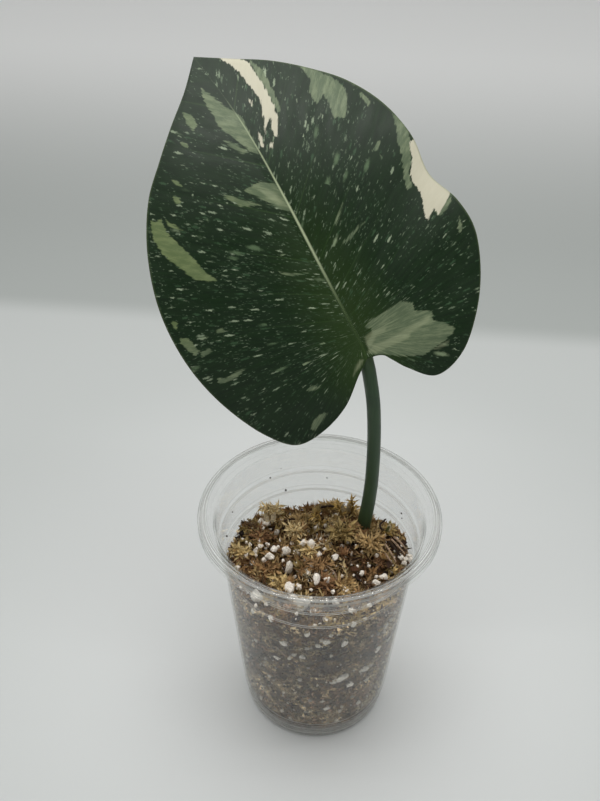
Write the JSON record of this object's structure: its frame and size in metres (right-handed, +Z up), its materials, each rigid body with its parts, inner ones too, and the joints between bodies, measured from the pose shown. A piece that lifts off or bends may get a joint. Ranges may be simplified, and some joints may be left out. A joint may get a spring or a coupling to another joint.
{
  "type": "potted white wizard philodendron",
  "caption": "Young variegated aroid: a heart-shaped dark green leaf marked cream and sage on a tall stalk, rooted in moss and perlite in a clear plastic cup.",
  "frame": {"origin": "centre of the bounding box's bottom face, on the table the cup stands on", "axes": "+Z up along the cup's axis; -Y towards the side that the leaf's upper face looks at; +X to the right as seen from -Y"},
  "size_m": [0.1242, 0.1391, 0.2621],
  "materials": {
    "clear_plastic": "clear, thin and glossy",
    "potting_mix": "moist fibre, matte",
    "root": "matte",
    "stalk": "smooth, satin",
    "leaf": "soft satin with a fine vein relief"
  },
  "bodies": {
    "root": {"cup": "clear_plastic", "substrate": "potting_mix", "stem_and_roots": "root", "petiole": "stalk", "leaf_blade": "leaf"}
  },
  "joints": []
}
